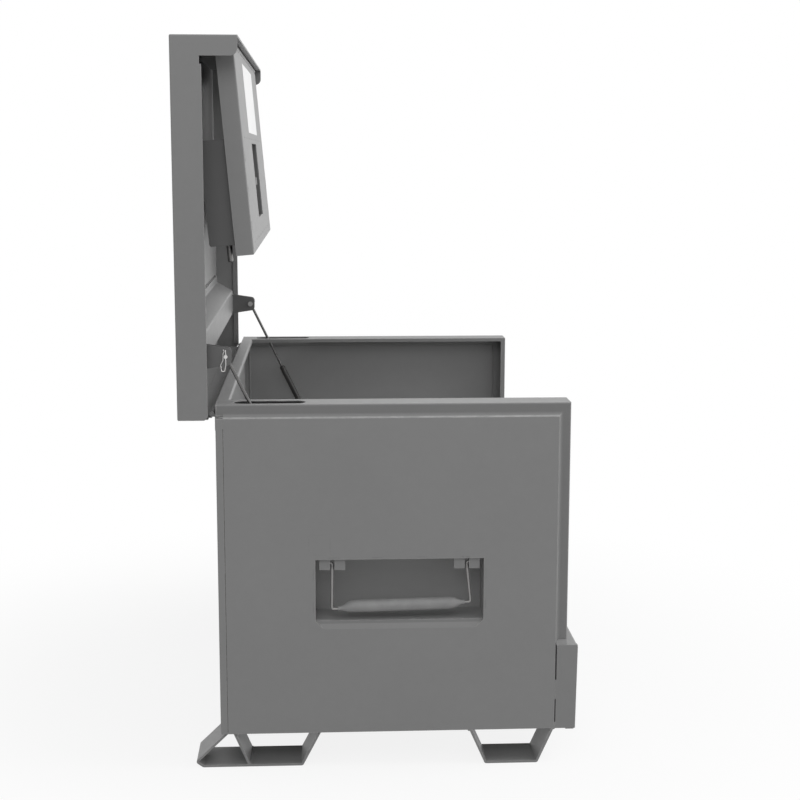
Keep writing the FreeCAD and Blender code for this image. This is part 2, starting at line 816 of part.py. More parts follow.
# ---------------------------------------------------------------- gas struts
foot_v = V(0, foot_y, foot_z)
head_v = V(0, pin_y, pin_z)
strut_dir = (foot_v - head_v).normalize()
strut_length = (foot_v - head_v).Length
tube_length = strut_length - rod_exposed - rod_eye_radius - foot_neck


def strut_point(distance):
    p = head_v + strut_dir * distance
    return (-strut_x, p.y, p.z)


def strut_rod():
    eye = rod((-strut_x - rod_eye_width / 2, pin_y, pin_z), (1, 0, 0), rod_eye_width, rod_eye_radius)
    stem_end = rod_exposed + piston_length
    stem = rod(strut_point(rod_eye_radius - 2), strut_dir, stem_end - rod_eye_radius + 2, rod_radius)
    bore_radius = tube_radius - tube_wall
    piston = rod(strut_point(stem_end), strut_dir, piston_length, bore_radius - bore_clearance)
    body = fuse(eye, stem, piston)
    hole = rod((-strut_x - 20, pin_y, pin_z), (1, 0, 0), 40, pin_radius + bore_clearance)
    return body.cut(hole)


def strut_tube():
    tube = rod(strut_point(rod_exposed), strut_dir, tube_length, tube_radius)
    hollow = rod(strut_point(rod_exposed + tube_end), strut_dir, tube_length - 2 * tube_end, tube_radius - tube_wall)
    mouth = rod(strut_point(rod_exposed - 1), strut_dir, tube_end + 2, rod_radius + bore_clearance)
    return tube.cut([hollow, mouth])


def strut_foot():
    eye = rod((-strut_x - foot_eye_half, foot_y, foot_z), (1, 0, 0), 2 * foot_eye_half, rod_eye_radius)
    neck_start = rod_exposed + tube_length
    neck = rod(strut_point(neck_start), strut_dir, strut_length - neck_start, tube_radius * 0.8)
    return fuse(eye, neck)


def strut_stud():
    wall_x = -half + sheet
    reach = stud_plate / 2
    plate = block(
        (wall_x, wall_x + clevis_plate),
        (foot_y - reach, foot_y + reach),
        (foot_z - reach, foot_z + reach),
    )
    plate = round_edges(plate, stud_plate_radius, lambda p, d: abs(d.x) > 0.9)
    length = -strut_x - foot_eye_half - stud_gap - wall_x
    stud = rod((wall_x, foot_y, foot_z), (1, 0, 0), length, stud_radius)
    shoulder = rod((wall_x, foot_y, foot_z), (1, 0, 0), clevis_plate + stud_shoulder, 2 * stud_radius)
    return fuse(plate, shoulder, stud)


# ---------------------------------------------------------------- front door
# The door is drawn hanging straight down from its hinge axis, then leaned and moved to the open lid.
def closed_door_y(offset):
    """Y, with the lid closed, of a point this far behind the door's hinge axis."""
    return hinge_y - (door_axis_z - hinge_z) + offset


def placed(shape):
    shape.rotate(V(0, 0, 0), ALONG, -door_lean)
    shape.translate(V(0, door_axis_y, door_axis_z))
    return shape


def door_hinge_lid_leaf():
    r = door_hinge_radius
    plate = ((hinge_pin_radius, hinge_leaf_width), (r, r + hinge_leaf))
    web = ((0, r), (hinge_pin_radius, r + hinge_leaf / 2))
    leaf = hinge_side(door_knuckles, door_hinge_length, 1, r, web, plate)
    leaf.translate(V(0, door_axis_y, door_axis_z))
    return leaf


def door_hinge_door_leaf():
    r = door_hinge_radius
    inner_face = -door_face + sheet
    plate = ((inner_face, inner_face + hinge_leaf - 0.1), (-hinge_leaf_width, -r - barrel_gap))
    web = ((inner_face, inner_face + hinge_leaf - 0.1), (-r - 1, 0))
    return placed(hinge_side(door_knuckles, door_hinge_length, 0, r, web, plate))


def well_x():
    return (-well_size[0] / 2, well_size[0] / 2)


def door_panel():
    y0, y1 = -door_face, -door_face + door_depth
    outer = block((-door_half, door_half), (y0, y1), (-door_length, -door_top))
    inside = door_half - sheet
    inner = block((-inside, inside), (y0 + sheet, y1 + 1), (-door_length + sheet, 0))

    def bends(p, d):
        sides = near(abs(p.x), door_half) and (near(p.y, y0))
        foot = near(p.y, y0) and near(p.z, -door_length)
        return sides or foot

    pan = round_edges(outer, bend_radius, bends).cut(inner)
    lip = block((-inside, inside), (y1 - sheet, y1), (-door_length, -door_length + door_lip))
    opening = block(well_x(), (y0 - 1, y0 + 5), (-well_top - well_size[1], -well_top))
    gap = door_hinge_radius + barrel_gap
    relief_cut = [
        block((x[0] - knuckle_gap, x[1] + knuckle_gap), (y0 - 1, y0 + 3), (-gap - 2, 0))
        for x in hinge_knuckles(door_knuckles, door_hinge_length, 1)
    ]
    return placed(fuse(pan, lip).cut([opening] + relief_cut))


def label_plate():
    y = -door_face - 0.05
    x = label_size[0] / 2
    top = -label_top - door_top
    plate = block((-x, x), (y - label_thickness, y), (top - label_size[1], top))
    return placed(round_edges(plate, label_radius, lambda p, d: abs(d.y) > 0.9))


def latch_well():
    y0 = -door_face + sheet
    y1 = -door_face + well_depth
    x = well_x()
    z = (-well_top - well_size[1], -well_top)
    outer = block((x[0] - sheet, x[1] + sheet), (y0, y1), (z[0] - sheet, z[1] + sheet))
    inner = block(x, (y0 - 1, y1 - sheet), z)
    rim = block((x[0] - well_rim, x[1] + well_rim), (y0, y0 + sheet), (z[0] - well_rim, z[1] + well_rim))
    rim = rim.cut(block(x, (y0 - 1, y0 + 5), z))
    tab_z = z[0] + tab_rise
    tab = block((x[0], x[0] + tab_size[0]), (y0, y0 + sheet), (tab_z, tab_z + tab_size[1]))
    well = fuse(outer.cut(inner), rim, tab)
    hole = rod((0, y1 - 5, latch_z), (0, 1, 0), 10, shaft_radius + bore_clearance)
    return placed(well.cut(hole))


latch_z = -well_top - well_size[1] * 0.5
bar_y = -door_face + bolt_behind


def lock_housing():
    y0, y1 = -door_face + sheet, -door_face + housing_depth
    outer = block((-housing_half, housing_half), (y0, y1), (-housing_bottom, -housing_top))
    inside = housing_half - sheet
    inner = block((-inside, inside), (y0 - 1, y1 - sheet), (-housing_bottom + sheet, -housing_top - sheet))

    def back_edges(p, d):
        return near(p.y, y1) and abs(d.x) > 0.9

    shell = round_edges(outer, housing_radius, back_edges).cut(inner)
    margin = well_rim + 1
    well = block(
        (-well_size[0] / 2 - margin, well_size[0] / 2 + margin),
        (y0 - 1, -door_face + well_depth + 1),
        (-well_top - well_size[1] - margin, -well_top + margin),
    )
    cuts = [well]
    for side in (-1, 1):
        cuts.append(rod((side * bolt_place, bar_y, -housing_bottom - 5), (0, 0, 1), 10, bolt_radius + bolt_clearance))
    return placed(shell.cut(cuts))


def bolt_guides():
    guides = []
    for side in (-1, 1):
        z0 = -housing_bottom + sheet
        x = side * bolt_place
        across = (x - guide_half, x + guide_half)
        guide = block(across, (bar_y - guide_half, bar_y + guide_half), (z0, z0 + guide_height))
        guide = guide.cut(rod((x, bar_y, z0 - 5), (0, 0, 1), guide_height + 10, bolt_radius + bore_clearance))
        back = -door_face + housing_depth - sheet
        high = bar_z - guide_shift
        upper = block(across, (bar_y + carrier_half + slide_gap, back), (high, high + guide_height / 2))
        guides += [placed(guide), placed(upper)]
    return guides


def lock_bolts():
    tip = -door_length - bolt_proud
    bolts = []
    for side in (-1, 1):
        bolt = rod((side * bolt_place, bar_y, tip), (0, 0, 1), bolt_length, bolt_radius)
        chamfered = [e for e in bolt.Edges if near(e.CenterOfMass.z, tip) and len(e.Vertexes) == 1]
        bolts.append(placed(bolt.makeChamfer(bolt_chamfer, chamfered)))
    return bolts


bar_z = latch_z + crank_radius * math.sin(math.radians(latch_turn / 2))


def bolt_bar():
    """Cross bar that carries both bolts, with a level slot for the crank's pin."""
    tip = -door_length - bolt_proud
    tongue_top = tip + bolt_length
    y = (bar_y - bar_thickness / 2, bar_y + bar_thickness / 2)
    span = bolt_place + carrier_half
    bar = block((-span, span), y, (bar_z - bar_height / 2, bar_z + bar_height / 2))
    feet = []
    for side in (-1, 1):
        x = side * bolt_place
        carrier_y = (bar_y - carrier_half, bar_y + carrier_half)
        feet.append(block((x - carrier_half, x + carrier_half), carrier_y, (tongue_top - bolt_travel, bar_z)))
    body = fuse(bar, *feet)
    cuts = []
    for side in (-1, 1):
        cuts.append(rod((side * bolt_place, bar_y, tip), (0, 0, 1), bolt_length + seat_gap, bolt_radius + bore_clearance))
    slot_half = crank_pin_radius + slide_gap
    crank_x = crank_radius * math.cos(math.radians(latch_turn / 2))
    cuts.append(
        block(
            (crank_x - crank_half, crank_radius + crank_half),
            (y[0] - 1, y[1] + 1),
            (bar_z - slot_half, bar_z + slot_half),
        )
    )
    return placed(body.cut(cuts))


def latch_lever():
    well_floor = -door_face + well_depth - sheet
    y1 = well_floor - lever_gap
    y0 = y1 - lever_thickness
    lever = block(
        (-lever_length / 2, lever_length / 2), (y0, y1), (latch_z - lever_width / 2, latch_z + lever_width / 2)
    )
    lever = round_edges(lever, lever_width / 2 - 0.5, lambda p, d: abs(d.y) > 0.9)
    boss = rod((0, y1 - 0.5, latch_z), (0, 1, 0), lever_gap, 2 * shaft_radius - 1)
    lever = fuse(lever, boss)
    hole = rod((0, y0 - 1, latch_z), (0, 1, 0), lever_thickness + 2 * lever_gap, shaft_radius + bore_clearance)
    lever = lever.cut(hole)
    return placed(lever)


def latch_shaft():
    well_floor = -door_face + well_depth - sheet
    front = well_floor - lever_gap - lever_thickness
    crank_y = bar_y - bar_thickness / 2 - slide_gap - crank_thickness
    shaft = rod((0, front, latch_z), (0, 1, 0), crank_y + crank_thickness - front, shaft_radius)
    angle = math.radians(latch_turn / 2)
    tip_x, tip_z = crank_radius * math.cos(angle), crank_radius * math.sin(angle)
    arm_x = (-crank_half, crank_radius + crank_half)
    arm = block(arm_x, (crank_y, crank_y + crank_thickness), (-crank_half, crank_half))
    arm = round_edges(arm, crank_half - slide_gap, lambda p, d: abs(d.y) > 0.9)
    arm.rotate(V(0, 0, 0), V(0, 1, 0), -latch_turn / 2)
    arm.translate(V(0, 0, latch_z))
    pin_length = 2 * crank_thickness + bar_thickness
    pin = rod((tip_x, crank_y + 1, latch_z + tip_z), (0, 1, 0), pin_length, crank_pin_radius)
    return placed(fuse(shaft, arm, pin))


# ---------------------------------------------------------------- build
export_pair("end_wall", end_wall())
export("rear_wall", rear_wall())
export("floor_pan", floor_pan())
export("front_sill", front_sill())
export("sill_welds", *sill_welds(), *[mirrored(b) for b in sill_welds()])
export_pair("leg_front", front_leg())
export_pair("leg_rear", rear_leg())
export_pair("leg_brace", rear_brace())
export_pair("handle_recess", handle_recess())
export_pair("handle_lugs", *handle_lugs())
export_pair("handle_bail", handle_bail())
export_pair("handle_grip", handle_grip())
export("lid_hinge_box_leaf", lid_hinge_box_leaf())
export("lid_hinge_lid_leaf", lid_hinge_lid_leaf())
export("lid_hinge_pin", hinge_pin(lid_hinge_length, hinge_y, hinge_z))
export("lid_shell", lid_shell())
export("lid_stiffener", lid_stiffener())
export_pair("strut_clevis", strut_clevis())
export("strut_pin_left", strut_pin())
export("strut_pin_right", turned(mirrored(strut_pin())))
export("strut_clip_left", strut_clip())
export("strut_clip_right", turned(mirrored(strut_clip())))
export_pair("strut_rod", strut_rod())
export_pair("strut_tube", strut_tube())
export_pair("strut_foot", strut_foot())
export_pair("strut_stud", strut_stud())
export("door_hinge_lid_leaf", door_hinge_lid_leaf())
export("door_hinge_door_leaf", door_hinge_door_leaf())
export("door_hinge_pin", hinge_pin(door_hinge_length, door_axis_y, door_axis_z))
export("door_panel", door_panel())
export("label_plate", label_plate())
export("latch_well", latch_well())
export("lock_housing", lock_housing())
export("bolt_guides", *bolt_guides())
export("lock_bolts", *lock_bolts())
export("bolt_bar", bolt_bar())
export("latch_lever", latch_lever())
export("latch_shaft", latch_shaft())
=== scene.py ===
import math
import random

import bmesh
import bpy
from mathutils import Matrix, Vector


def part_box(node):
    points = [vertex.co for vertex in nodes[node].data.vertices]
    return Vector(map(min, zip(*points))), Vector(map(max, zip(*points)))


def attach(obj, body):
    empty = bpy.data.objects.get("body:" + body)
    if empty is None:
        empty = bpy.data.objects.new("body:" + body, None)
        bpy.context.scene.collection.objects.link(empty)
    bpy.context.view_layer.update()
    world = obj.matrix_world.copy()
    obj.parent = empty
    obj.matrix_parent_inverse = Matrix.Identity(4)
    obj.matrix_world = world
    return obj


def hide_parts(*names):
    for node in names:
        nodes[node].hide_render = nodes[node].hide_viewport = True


# Jobsite storage box: finishes, welds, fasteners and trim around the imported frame.  Metres.
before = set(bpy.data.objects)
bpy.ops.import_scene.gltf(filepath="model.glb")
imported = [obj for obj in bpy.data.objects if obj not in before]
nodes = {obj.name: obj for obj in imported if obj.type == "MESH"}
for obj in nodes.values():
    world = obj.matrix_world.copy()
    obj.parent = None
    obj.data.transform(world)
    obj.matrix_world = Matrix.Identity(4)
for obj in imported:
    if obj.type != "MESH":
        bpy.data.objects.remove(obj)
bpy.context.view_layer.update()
rng = random.Random(7)

MM = 0.001
SIDES = ((-1, "left"), (1, "right"))

# Places that the solids' boxes don't give, in millimetres.
# X is for the right hand, and the left hand mirrors it.
INNER_FACE_X = 607.6        # end wall, seen inside the box
JOINT_X = 609.5             # just under the end wall's outer face
RIM_X = 607.0               # the inset rim lies inside this
STEP_Z = 753.0              # where the joggle below the rim begins
STEP_LINE_Z = 754.2         # its bend, where a highlight is painted
HEM_Z = 1516.0              # the hood's folded hem lies above this
WRAP_SEAM_Y = 325.3         # edge of the rear wall's wrap on the end wall
SHEET = 2.0
FLOOR_UNDERSIDE_Z = 75.2
GRIP_X = 595.6
GRIP_ENDS = ((103.8, 343.3), (-188.8, 355.3))  # rear and front end of the grip's axis, (y, z)
GRIP_HALF = 134.0           # half the grip's length
GRIP_BARREL = 95            # half the length of its thick middle
GRIP_RADIUS = 13.1
GRIP_LIFT = 3.6             # most that the moulding sits above the wire's line
STRUT_X = 567.6
STRUT_HEAD = (318.8, 877.6)                    # (y, z) of the strut's pivots
STRUT_FOOT = (129.0, 485.0)
TUBE_START = 197.0          # tube's upper end, from the head's axis
TUBE_GAP = 14.0             # tube's lower end to the foot's axis
TUBE_RADIUS = 7.5
DOOR_AXIS = (300.4, 1511.7)                    # (y, z) of the door's hinge
DOOR_LEAN = math.radians(5.0)
HOUSING_X = 505.6           # the lock housing's edges, in the door's frame
HOUSING_Z = (-189.4, -408.6)
LATCH_SHAFT_Z = -284.0
PLATE_EDGE = 22.0           # from the strut's lower pivot to the edges of its plate
# Rivets of the lid's hinge: body, (y, z), and the way the head stands.
LID_HINGE_RIVETS = (
    ("box", (342.5, 738.0), (0, 1, 0)),
    ("lid", (370.0, 750.0), (0, 0, -1)),
)
# Leg straps under the floor: (y, way it faces) of both faces, then X of their outer and inner end.
STRAPS = (
    (((-368.4, -1), (-187.4, 1)), 608.6, 514.6),
    (((127.5, -1), (329.5, 1)), 600.6, 502.6),
)
# Ends of the rear leg's brace: both faces, height, section of the bead, and the way it stands up.
BRACE_ENDS = (
    (((310.0, -1), (315.3, 1)), 75.4, (5.0, 2.0), -1),
    (((279.2, -1), (284.0, 1)), 5.4, (4.5, 1.8), 1),
)
BRACE_X = (600, 503)


# ---------------------------------------------------------------- materials
class Shader:
    """A material's node tree, with short calls for the nodes used here."""

    COLOUR_A, COLOUR_B, COLOUR_OUT = 6, 7, 2  # the mix node's sockets for colours

    def __init__(self, name):
        self.material = bpy.data.materials.new(name)
        self.material.use_nodes = True
        self.tree = self.material.node_tree
        self.tree.nodes.clear()
        self.output = self.add("ShaderNodeOutputMaterial")
        self.place = self.add("ShaderNodeTexCoord").outputs["Object"]

    def add(self, kind, **settings):
        node = self.tree.nodes.new(kind)
        for key, value in settings.items():
            setattr(node, key, value)
        return node

    def link(self, a, b):
        self.tree.links.new(a, b)

    def noise(self, scale, detail=3.0, roughness=0.5, stretch=None):
        """Noise value in the object's own space, stretched along an axis if asked."""
        node = self.add("ShaderNodeTexNoise")
        node.inputs["Scale"].default_value = scale
        node.inputs["Detail"].default_value = detail
        node.inputs["Roughness"].default_value = roughness
        place = self.place
        if stretch:
            mapping = self.add("ShaderNodeMapping")
            mapping.inputs["Scale"].default_value = stretch
            self.link(place, mapping.inputs["Vector"])
            place = mapping.outputs["Vector"]
        self.link(place, node.inputs["Vector"])
        return node.outputs["Fac"]

    def remap(self, value, before, after):
        """Value carried from one (low, high) range to another, and held at its ends."""
        node = self.add("ShaderNodeMapRange")
        for key, number in zip(("From Min", "From Max", "To Min", "To Max"), (*before, *after)):
            node.inputs[key].default_value = number
        self.link(value, node.inputs["Value"])
        return node.outputs["Result"]

    def math(self, operation, *values):
        """Result of one operation on sockets or numbers."""
        node = self.add("ShaderNodeMath", operation=operation)
        for socket, value in zip(node.inputs, values):
            if isinstance(value, (int, float)):
                socket.default_value = value
            else:
                self.link(value, socket)
        return node.outputs["Value"]

    def mix(self, factor, a, b):
        """Colour a to colour b by factor; a and b are colours or sockets."""
        node = self.add("ShaderNodeMix", data_type="RGBA")
        self.link(factor, node.inputs["Factor"])
        for key, value in ((self.COLOUR_A, a), (self.COLOUR_B, b)):
            if isinstance(value, bpy.types.NodeSocket):
                self.link(value, node.inputs[key])
            else:
                node.inputs[key].default_value = (*value, 1)
        return node.outputs[self.COLOUR_OUT]

    def scaled(self, colour, share):
        """Colour multiplied by one factor."""
        node = self.add("ShaderNodeVectorMath", operation="SCALE")
        self.link(colour, node.inputs["Vector"])
        self.link(share, node.inputs["Scale"])
        return node.outputs["Vector"]

    def plain_normal(self):
        return self.add("ShaderNodeNewGeometry").outputs["Normal"]

    def along(self, vector, axis):
        """One part of a vector, by the name of its axis."""
        node = self.add("ShaderNodeSeparateXYZ")
        self.link(vector, node.inputs["Vector"])
        return node.outputs[axis]

    def bevelled(self, radius):
        """Normal with every edge rounded over."""
        node = self.add("ShaderNodeBevel", samples=4)
        node.inputs["Radius"].default_value = radius
        return node.outputs["Normal"]

    def turned(self, normal):
        """0 where a normal is the surface's plain one, 1 where it turns well away from it."""
        dot = self.add("ShaderNodeVectorMath", operation="DOT_PRODUCT")
        self.link(normal, dot.inputs[0])
        self.link(self.plain_normal(), dot.inputs[1])
        return self.remap(dot.outputs["Value"], (1.0, 0.8), (0.0, 1.0))

    def convex(self, reach):
        """1 along the outward edges of the metal, found by looking back into it."""
        node = self.add("ShaderNodeAmbientOcclusion", samples=4, inside=True, only_local=True)
        node.inputs["Distance"].default_value = reach
        return self.remap(node.outputs["AO"], (0.9, 0.55), (0.0, 1.0))

    def bump(self, height, strength, distance, normal=None):
        node = self.add("ShaderNodeBump")
        node.inputs["Strength"].default_value = strength
        node.inputs["Distance"].default_value = distance
        self.link(height, node.inputs["Height"])
        if normal is not None:
            self.link(normal, node.inputs["Normal"])
        return node.outputs["Normal"]

    def finish(self, colour, roughness, normal, **constants):
        """Principled surface; a constant is set on the shader's own socket."""
        shader = self.add("ShaderNodeBsdfPrincipled")
        for key, value in (("Base Color", colour), ("Roughness", roughness), ("Normal", normal)):
            self.link(value, shader.inputs[key])
        for key, value in constants.items():
            shader.inputs[key.replace("_", " ").title().replace("Ior", "IOR")].default_value = value
        self.link(shader.outputs["BSDF"], self.output.inputs["Surface"])
        return self.material


def grey(level, warm=0.0):
    """Neutral colour of that linear level, warmed or cooled a little."""
    return (level * (1 + warm), level, level * (1 - warm))


def painted_rim_shade(s):
    """Painted shade: darker share of the end walls' inset rim, on its upright faces only."""
    inset = s.math("LESS_THAN", s.math("ABSOLUTE", s.along(s.place, "X")), RIM_X * MM)
    upright = s.remap(s.math("ABSOLUTE", s.along(s.plain_normal(), "X")), (0.40, 1.0), (1.0, 0.78))
    return s.math("MULTIPLY_ADD", inset, s.math("SUBTRACT", upright, 1.0), 1.0)


def painted_hem_shade(s):
    """Painted shade: darker colour on the downward faces of the hood's folded hem, where shade
    falls.
    """
    high = s.math("GREATER_THAN", s.along(s.place, "Z"), HEM_Z * MM)
    downward = s.remap(s.along(s.plain_normal(), "Z"), (-0.9, -0.5), (-0.42, 0.0))
    return s.math("MULTIPLY_ADD", high, downward, 1.0)


def painted_step_highlight(s):
    """Painted highlight: 1 along the bend at the top of the end panels, on its upward faces, broken
    up a little.
    """
    off_line = s.math("ABSOLUTE", s.math("SUBTRACT", s.along(s.place, "Z"), STEP_LINE_Z * MM))
    line = s.remap(off_line, (0.6 * MM, 1.8 * MM), (1.0, 0.0))
    upward = s.remap(s.along(s.plain_normal(), "Z"), (0.08, 0.25), (0.0, 1.0))
    broken = s.remap(s.noise(38.0, 4.0, 0.7), (0.36, 0.60), (0.45, 1.0))
    return s.math("MULTIPLY", s.math("MULTIPLY", line, upward), broken)


def painted_steel(name, level, roughness=0.42, wear_and_highlight=0.70, shading=None, painted_highlight=None):
    """Satin powder coat: mottling, orange peel, handling marks, and outward edges lighter, as worn
    paint and painted highlight.
    """
    s = Shader(name)
    clouds = s.noise(3.2, 2.0)
    mottle = s.noise(42.0, 4.0, 0.6)
    shade = s.math("MULTIPLY_ADD", clouds, 0.10, 0.95)
    shade = s.math("MULTIPLY", shade, s.remap(mottle, (0.3, 0.7), (0.985, 1.015)))
    base = s.mix(s.remap(shade, (0.94, 1.06), (0, 1)), grey(level * 0.94), grey(level * 1.06))
    # Where a material asks, painted shade darkens the colour and a painted highlight line lightens
    # it.
    if shading:
        base = s.scaled(base, shading(s))
    if painted_highlight:
        base = s.mix(painted_highlight(s), base, grey(level * 1.7))
    # Outward edges lighter in patches: worn paint, and painted highlight along the edges.
    patchy = s.remap(s.noise(60.0, 5.0, 0.7), (0.38, 0.60), (0.12, wear_and_highlight))
    rub_and_highlight = s.math("MULTIPLY", s.convex(1.6 * MM), patchy)
    base = s.mix(rub_and_highlight, base, grey(min(level * 2.0, 0.8), 0.01))
    marks = s.remap(s.noise(9.0, 6.0, 0.75, (1.0, 1.0, 5.0)), (0.62, 0.80), (0.0, 0.07))
    rough = s.remap(mottle, (0.3, 0.7), (roughness - 0.03, roughness + 0.04))
    peel = s.math("ADD", s.noise(780.0, 1.0), s.math("MULTIPLY", s.noise(210.0, 2.0), 1.5))
    normal = s.bump(peel, 0.10, 0.25 * MM, s.bevelled(1.1 * MM))
    return s.finish(base, s.math("ADD", rough, marks), normal, specular_ior_level=0.42)


def zinc_plate(name, level=0.60, roughness=0.30):
    """Bright zinc: cloudy lustre and fine drawing lines."""
    s = Shader(name)
    cloud = s.noise(55.0, 5.0, 0.6)
    base = s.mix(cloud, grey(level * 0.84, -0.01), grey(level * 1.12, 0.03))
    lines = s.noise(900.0, 2.0, 0.5, (1.0, 1.0, 0.06))
    rough = s.remap(cloud, (0.2, 0.8), (roughness - 0.06, roughness + 0.1))
    normal = s.bump(lines, 0.12, 0.05 * MM, s.bevelled(0.35 * MM))
    return s.finish(base, rough, normal, metallic=1.0)


def rod_steel(name):
    """Dark nitrided rod with a polished, drawn surface."""
    s = Shader(name)
    base = s.mix(s.noise(120.0, 3.0), grey(0.11), grey(0.17, 0.02))
    lines = s.noise(1400.0, 2.0, 0.5, (1.0, 1.0, 0.1))
    rough = s.remap(s.noise(80.0, 3.0), (0.3, 0.7), (0.20, 0.34))
    return s.finish(base, rough, s.bump(lines, 0.08, 0.03 * MM), metallic=0.85)


def black_oxide(name, level, roughness):
    """Dark oiled or black-painted steel with a slight brown cast where it is handled."""
    s = Shader(name)
    base = s.mix(s.noise(38.0, 5.0, 0.65), grey(level), grey(level * 1.7, 0.06))
    rounded = s.bevelled(0.5 * MM)
    patchy = s.remap(s.noise(90.0, 4.0), (0.45, 0.65), (0.0, 0.5))
    base = s.mix(s.math("MULTIPLY", s.turned(rounded), patchy), base, grey(0.16, 0.02))
    rough = s.remap(s.noise(70.0, 4.0), (0.3, 0.7), (roughness - 0.08, roughness + 0.08))
    normal = s.bump(s.noise(500.0, 3.0), 0.12, 0.1 * MM, rounded)
    return s.finish(base, rough, normal, metallic=0.3)


def moulded_vinyl(name, level):
    """Moulded grip: fine pebble, dull sheen and a slightly cloudy tone."""
    s = Shader(name)
    cloud = s.remap(s.noise(26.0, 5.0, 0.6), (0.3, 0.7), (0, 1))
    base = s.mix(cloud, grey(level * 0.88), grey(level * 1.08))
    pebble = s.add("ShaderNodeTexVoronoi", feature="SMOOTH_F1")
    pebble.inputs["Scale"].default_value = 650.0
    s.link(s.place, pebble.inputs["Vector"])
    rough = s.remap(s.noise(18.0, 3.0), (0.3, 0.7), (0.48, 0.60))
    normal = s.bump(pebble.outputs["Distance"], 0.18, 0.15 * MM)
    return s.finish(base, rough, normal, sheen_weight=0.08)


def label_film(name):
    """Blank white film with a faint sheen and slightly uneven lamination."""
    s = Shader(name)
    base = s.mix(s.noise(12.0, 3.0), grey(0.90, 0.004), grey(0.93, -0.002))
    rough = s.remap(s.noise(30.0, 2.0), (0.3, 0.7), (0.30, 0.40))
    normal = s.bump(s.noise(35.0, 2.0), 0.05, 0.2 * MM)
    return s.finish(base, rough, normal, coat_weight=0.15, coat_roughness=0.2)


def weld_steel(name, level):
    """Painted-over weld metal: rougher, its tone rippled a little darker and lighter."""
    s = Shader(name)
    ripple = s.noise(420.0, 4.0, 0.6)
    base = s.mix(ripple, grey(level * 0.80), grey(level * 1.05))
    rough = s.remap(ripple, (0.3, 0.7), (0.38, 0.56))
    normal = s.bump(s.noise(900.0, 3.0), 0.3, 0.25 * MM)
    return s.finish(base, rough, normal, specular_ior_level=0.42)


PAINT = 0.26
materials = {
    "paint": painted_steel("powder_coat", PAINT),
    # End and rear walls: the same paint a little lighter as painted light, with painted shade on
    # the inset rim and a painted highlight along the step.
    "ends": painted_steel("end_coat", PAINT * 1.05, shading=painted_rim_shade, painted_highlight=painted_step_highlight),
    # Lid: the same paint, with painted shade under the hood's hem.
    "lid": painted_steel("lid_coat", PAINT, shading=painted_hem_shade),
    # Handle pan: the same paint lighter, as painted light in the recess.
    "pan": painted_steel("pan_coat", 0.325, wear_and_highlight=0.30),
    # Darker coat of the clevises and the lock housing; on the latch well it is painted shade in the
    # hollow.
    "hardware": painted_steel("hardware_coat", 0.145, roughness=0.48, wear_and_highlight=0.25),
    "zinc": zinc_plate("zinc_plate"),
    "wire": zinc_plate("dull_zinc", 0.26, 0.50),
    "bolt": zinc_plate("turned_steel", 0.18, 0.42),
    "rod": rod_steel("nitrided_rod"),
    "tube": black_oxide("strut_black", 0.030, 0.38),
    "dark": black_oxide("oiled_steel", 0.05, 0.42),
    "grip": moulded_vinyl("grip_vinyl", 0.30),
    "label": label_film("label_film"),
    "weld": weld_steel("painted_weld", PAINT),
}
# The finish of the CAD nodes whose names start so; all the others are plain paint.
FINISH_OF = {
    "end_wall": "ends",
    "rear_wall": "ends",
    "lid_shell": "lid",
    "handle_recess": "pan",
    "strut_clevis": "hardware",
    # painted shade: the latch well's hollow wears the darker coat
    "latch_well": "hardware",
    "lock_housing": "hardware",
    "strut_pin": "zinc",
    "strut_clip": "zinc",
    "strut_stud": "zinc",
    "handle_bail": "wire",
    "lock_bolts": "bolt",
    "strut_rod": "rod",
    "strut_tube": "tube",
    "strut_foot": "tube",
    "latch_lever": "dark",
    "latch_shaft": "dark",
    "bolt_bar": "dark",
    "handle_grip": "grip",
    "label_plate": "label",
    "sill_welds": "weld",
}


def finish_of(name):
    for start, finish in FINISH_OF.items():
        if name.startswith(start):
            return finish
    return "paint"


for name, node in nodes.items():
    node.data.materials.clear()
    node.data.materials.append(materials[finish_of(name)])


# ---------------------------------------------------------------- camera, light and floor
def place_object(name, data):
    """New object in the scene's own collection."""
    made = bpy.data.objects.new(name, data)
    bpy.context.scene.collection.objects.link(made)
    return made


def add_camera(place, yaw, pitch, roll, lens):
    """Camera looking along +X, then turned in degrees: to the right, down, about its own axis."""
    yaw, pitch, roll = (math.radians(a) for a in (yaw, pitch, roll))
    forward = Vector(
        (math.cos(pitch) * math.cos(yaw), -math.cos(pitch) * math.sin(yaw), -math.sin(pitch))
    )
    level = Vector((-math.sin(yaw), -math.cos(yaw), 0))
    upright = level.cross(forward)
    right = math.cos(roll) * level + math.sin(roll) * upright
    up = math.cos(roll) * upright - math.sin(roll) * level
    data = bpy.data.cameras.new("camera")
    data.sensor_width = 36.0
    data.lens = lens
    camera = place_object("camera", data)
    turn = Matrix((right, up, -forward)).transposed().to_4x4()
    camera.matrix_world = Matrix.Translation(place) @ turn
    bpy.context.scene.camera = camera


def add_area(name, place, target, size, power):
    data = bpy.data.lights.new(name, "AREA")
    data.shape = "DISK"
    data.size = size
    data.energy = power
    lamp = place_object(name, data)
    lamp.location = place
    lamp.rotation_euler = (Vector(target) - Vector(place)).to_track_quat("-Z", "Y").to_euler()


def seen_directly(tree):
    """1 for camera, glossy and transmission rays."""
    path = tree.nodes.new("ShaderNodeLightPath")
    total = path.outputs["Is Camera Ray"]
    for kind in ("Is Glossy Ray", "Is Transmission Ray"):
        node = tree.nodes.new("ShaderNodeMath")
        node.operation = "MAXIMUM"
        tree.links.new(total, node.inputs[0])
        tree.links.new(path.outputs[kind], node.inputs[1])
        total = node.outputs["Value"]
    return total


